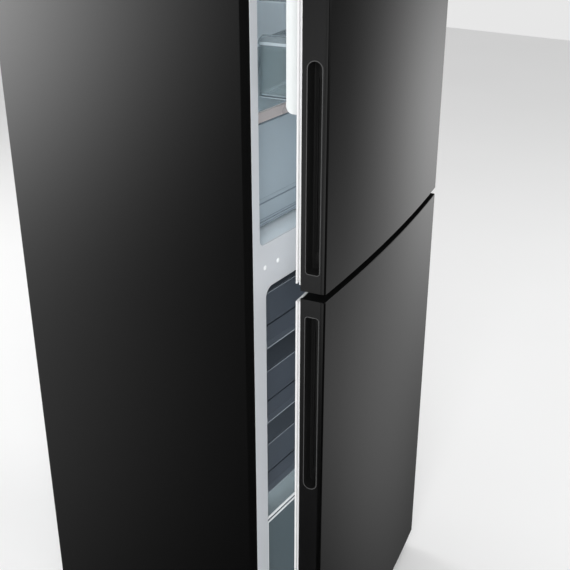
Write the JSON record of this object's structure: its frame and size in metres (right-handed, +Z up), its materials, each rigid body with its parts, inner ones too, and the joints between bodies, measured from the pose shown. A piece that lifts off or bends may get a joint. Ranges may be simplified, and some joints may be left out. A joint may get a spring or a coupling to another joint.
{
  "type": "refrigerator",
  "caption": "Tall two-door refrigerator with the freezer below, slim pocket handles along the free edges of slightly bowed dark doors, both doors standing ajar.",
  "frame": {"origin": "on the floor under the middle of the whole object, doors ajar as drawn", "axes": "+X to the user's right, +Y towards the back, +Z up"},
  "size_m": [0.5979, 0.7141, 1.87],
  "materials": {
    "black_steel": "satin",
    "black_door_steel": "satin",
    "black_plastic": "satin",
    "handle_plastic": "satin",
    "flange_steel": "satin",
    "zinc_steel": "satin",
    "back_sheet": "satin",
    "hinge_steel": "satin",
    "foam": "matte",
    "liner_white": "satin",
    "white_trim": "satin",
    "gasket_rubber": "matte",
    "compressor_black": "satin",
    "black_rubber": "matte",
    "coil_black": "satin",
    "grey_plastic": "matte",
    "aluminium_fins": "satin",
    "lens_plastic": "satin",
    "shelf_glass": "gloss",
    "champagne_trim": "satin",
    "clear_plastic": "gloss",
    "crisper_plastic": "gloss",
    "drawer_plastic": "gloss",
    "foot_plastic": "matte"
  },
  "bodies": {
    "cabinet": {"outer_wrap": "black_steel", "back_panel": "back_sheet", "base_pan": "zinc_steel", "base_frame": "zinc_steel", "front_flange": "flange_steel", "mullion_rail": "zinc_steel", "mullion_plugs": "flange_steel", "cabinet_foam": "foam", "fridge_liner": "liner_white", "freezer_liner": "liner_white", "top_hinge": "hinge_steel", "middle_hinge": "hinge_steel", "bottom_hinge": "hinge_steel", "hinge_cover": "black_plastic", "hinge_screws": "hinge_steel", "kick_plate": "black_plastic", "roller_axles": "hinge_steel", "compressor": "compressor_black", "compressor_grommets": "black_rubber", "condenser_coil": "coil_black", "drip_tray": "grey_plastic", "machine_cover": "grey_plastic", "power_inlet": "black_plastic", "evaporator_coil": "aluminium_fins", "freezer_back_cover": "liner_white", "fan_motor": "grey_plastic", "duct_cover": "liner_white", "lamp_lens": "lens_plastic", "thermostat_housing": "liner_white", "fridge_glass_shelves": "shelf_glass", "fridge_shelf_trims": "champagne_trim", "freezer_shelf_glass": "shelf_glass", "freezer_shelf_trim": "white_trim", "drawer_rails": "liner_white"},
    "upper_door": {"upper_door_skin": "black_door_steel", "upper_door_surround": "black_plastic", "upper_door_handle": "handle_plastic", "upper_door_foam": "foam", "upper_door_gasket": "gasket_rubber", "upper_door_liner": "liner_white", "door_bins": "clear_plastic"},
    "lower_door": {"lower_door_skin": "black_door_steel", "lower_door_surround": "black_plastic", "lower_door_handle": "handle_plastic", "lower_door_foam": "foam", "lower_door_gasket": "gasket_rubber", "lower_door_liner": "liner_white"},
    "dairy_flap": {"dairy_flap": "clear_plastic"},
    "crisper_drawer": {"crisper_drawer": "crisper_plastic"},
    "freezer_drawer_1": {"freezer_drawer_1": "drawer_plastic"},
    "freezer_drawer_2": {"freezer_drawer_2": "drawer_plastic"},
    "freezer_drawer_3": {"freezer_drawer_3": "drawer_plastic"},
    "bottom_drawer": {"bottom_drawer": "drawer_plastic", "bottom_drawer_bezel": "white_trim"},
    "fan_blade": {"fan_blade": "grey_plastic"},
    "thermostat_knob": {"thermostat_knob": "grey_plastic"},
    "levelling_foot_left": {"levelling_foot_left": "foot_plastic"},
    "levelling_foot_right": {"levelling_foot_right": "foot_plastic"},
    "rear_roller_left": {"rear_roller_left": "foot_plastic"},
    "rear_roller_right": {"rear_roller_right": "foot_plastic"}
  },
  "joints": [
    {"name": "upper_door_hinge", "type": "hinge", "parent": "cabinet", "child": "upper_door", "pos_m": [0.2755, -0.2526, 0.96], "axis": [0, 0, 1], "range_deg": [-8.05, 112]},
    {"name": "lower_door_hinge", "type": "hinge", "parent": "cabinet", "child": "lower_door", "pos_m": [0.2755, -0.2526, 0.5], "axis": [0, 0, 1], "range_deg": [-8.05, 112]},
    {"name": "dairy_flap_hinge", "type": "hinge", "parent": "upper_door", "child": "dairy_flap", "pos_m": [-0.22335, -0.29588, 1.675], "axis": [0.9901, 0.14, 0], "range_deg": [0, 85]},
    {"name": "crisper_slide", "type": "slide", "parent": "cabinet", "child": "crisper_drawer", "axis": [0, -1, 0], "range_m": [0, 0.05]},
    {"name": "freezer_drawer_1_slide", "type": "slide", "parent": "cabinet", "child": "freezer_drawer_1", "axis": [0, -1, 0], "range_m": [0, 0.016]},
    {"name": "freezer_drawer_2_slide", "type": "slide", "parent": "cabinet", "child": "freezer_drawer_2", "axis": [0, -1, 0], "range_m": [0, 0.016]},
    {"name": "freezer_drawer_3_slide", "type": "slide", "parent": "cabinet", "child": "freezer_drawer_3", "axis": [0, -1, 0], "range_m": [0, 0.016]},
    {"name": "bottom_drawer_slide", "type": "slide", "parent": "cabinet", "child": "bottom_drawer", "axis": [0, -1, 0], "range_m": [0, 0.016]},
    {"name": "fan_spin", "type": "hinge", "parent": "cabinet", "child": "fan_blade", "pos_m": [0, 0.262, 0.72], "axis": [0, 1, 0], "continuous": true},
    {"name": "thermostat_turn", "type": "hinge", "parent": "cabinet", "child": "thermostat_knob", "pos_m": [0, 0.122, 1.765], "axis": [0, 0, 1], "range_deg": [-150, 150]},
    {"name": "left_foot_screw", "type": "hinge", "parent": "cabinet", "child": "levelling_foot_left", "pos_m": [-0.277, -0.168, 0], "axis": [0, 0, 1], "continuous": true},
    {"name": "right_foot_screw", "type": "hinge", "parent": "cabinet", "child": "levelling_foot_right", "pos_m": [0.277, -0.168, 0], "axis": [0, 0, 1], "continuous": true},
    {"name": "left_roller_spin", "type": "hinge", "parent": "cabinet", "child": "rear_roller_left", "pos_m": [-0.277, 0.317, 0.014], "axis": [1, 0, 0], "continuous": true},
    {"name": "right_roller_spin", "type": "hinge", "parent": "cabinet", "child": "rear_roller_right", "pos_m": [0.277, 0.317, 0.014], "axis": [1, 0, 0], "continuous": true}
  ]
}
